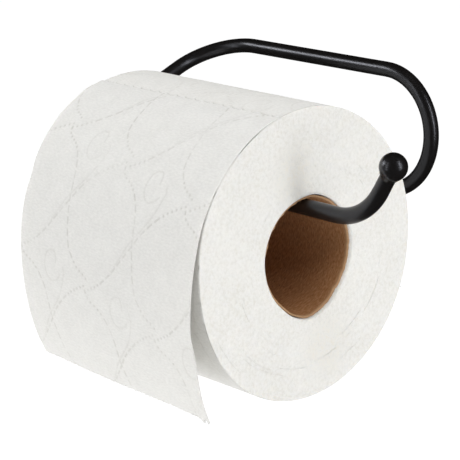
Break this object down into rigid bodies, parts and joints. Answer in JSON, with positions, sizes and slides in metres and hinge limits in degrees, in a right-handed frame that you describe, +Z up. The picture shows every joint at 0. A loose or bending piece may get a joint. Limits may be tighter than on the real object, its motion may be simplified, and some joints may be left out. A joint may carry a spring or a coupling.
{
  "type": "toilet paper holder",
  "caption": "Wall-mounted toilet paper holder bent from one black rod with a ball end, carrying a turning paper roll with a loose front sheet.",
  "frame": {"origin": "midway between the two screw holes, on the wall plane at the wall plate's back", "axes": "+Y into the wall, -Y towards the room, +Z up, +X along the arm towards its ball end"},
  "size_m": [0.1858, 0.1418, 0.1102],
  "materials": {
    "black_powder_coat": "fine matt powder coat",
    "core_board": "raw brown board",
    "tissue": "soft embossed white tissue"
  },
  "bodies": {
    "holder": {"holder_rod": "black_powder_coat", "ball_tip": "black_powder_coat", "ball_weld": "black_powder_coat", "wall_plate": "black_powder_coat", "plate_welds": "black_powder_coat"},
    "roll": {"cardboard_core": "core_board", "wound_paper": "tissue"},
    "sheet": {"loose_sheet": "tissue"}
  },
  "joints": [
    {"name": "roll_spin", "type": "hinge", "parent": "holder", "child": "roll", "pos_m": [0.028, -0.0855, -0.00524], "axis": [1, 0, 0], "continuous": true},
    {"name": "sheet_lift", "type": "hinge", "parent": "holder", "child": "sheet", "pos_m": [0.028, -0.10092, 0.04683], "axis": [-1, 0, 0], "range_deg": [0, 50]}
  ]
}
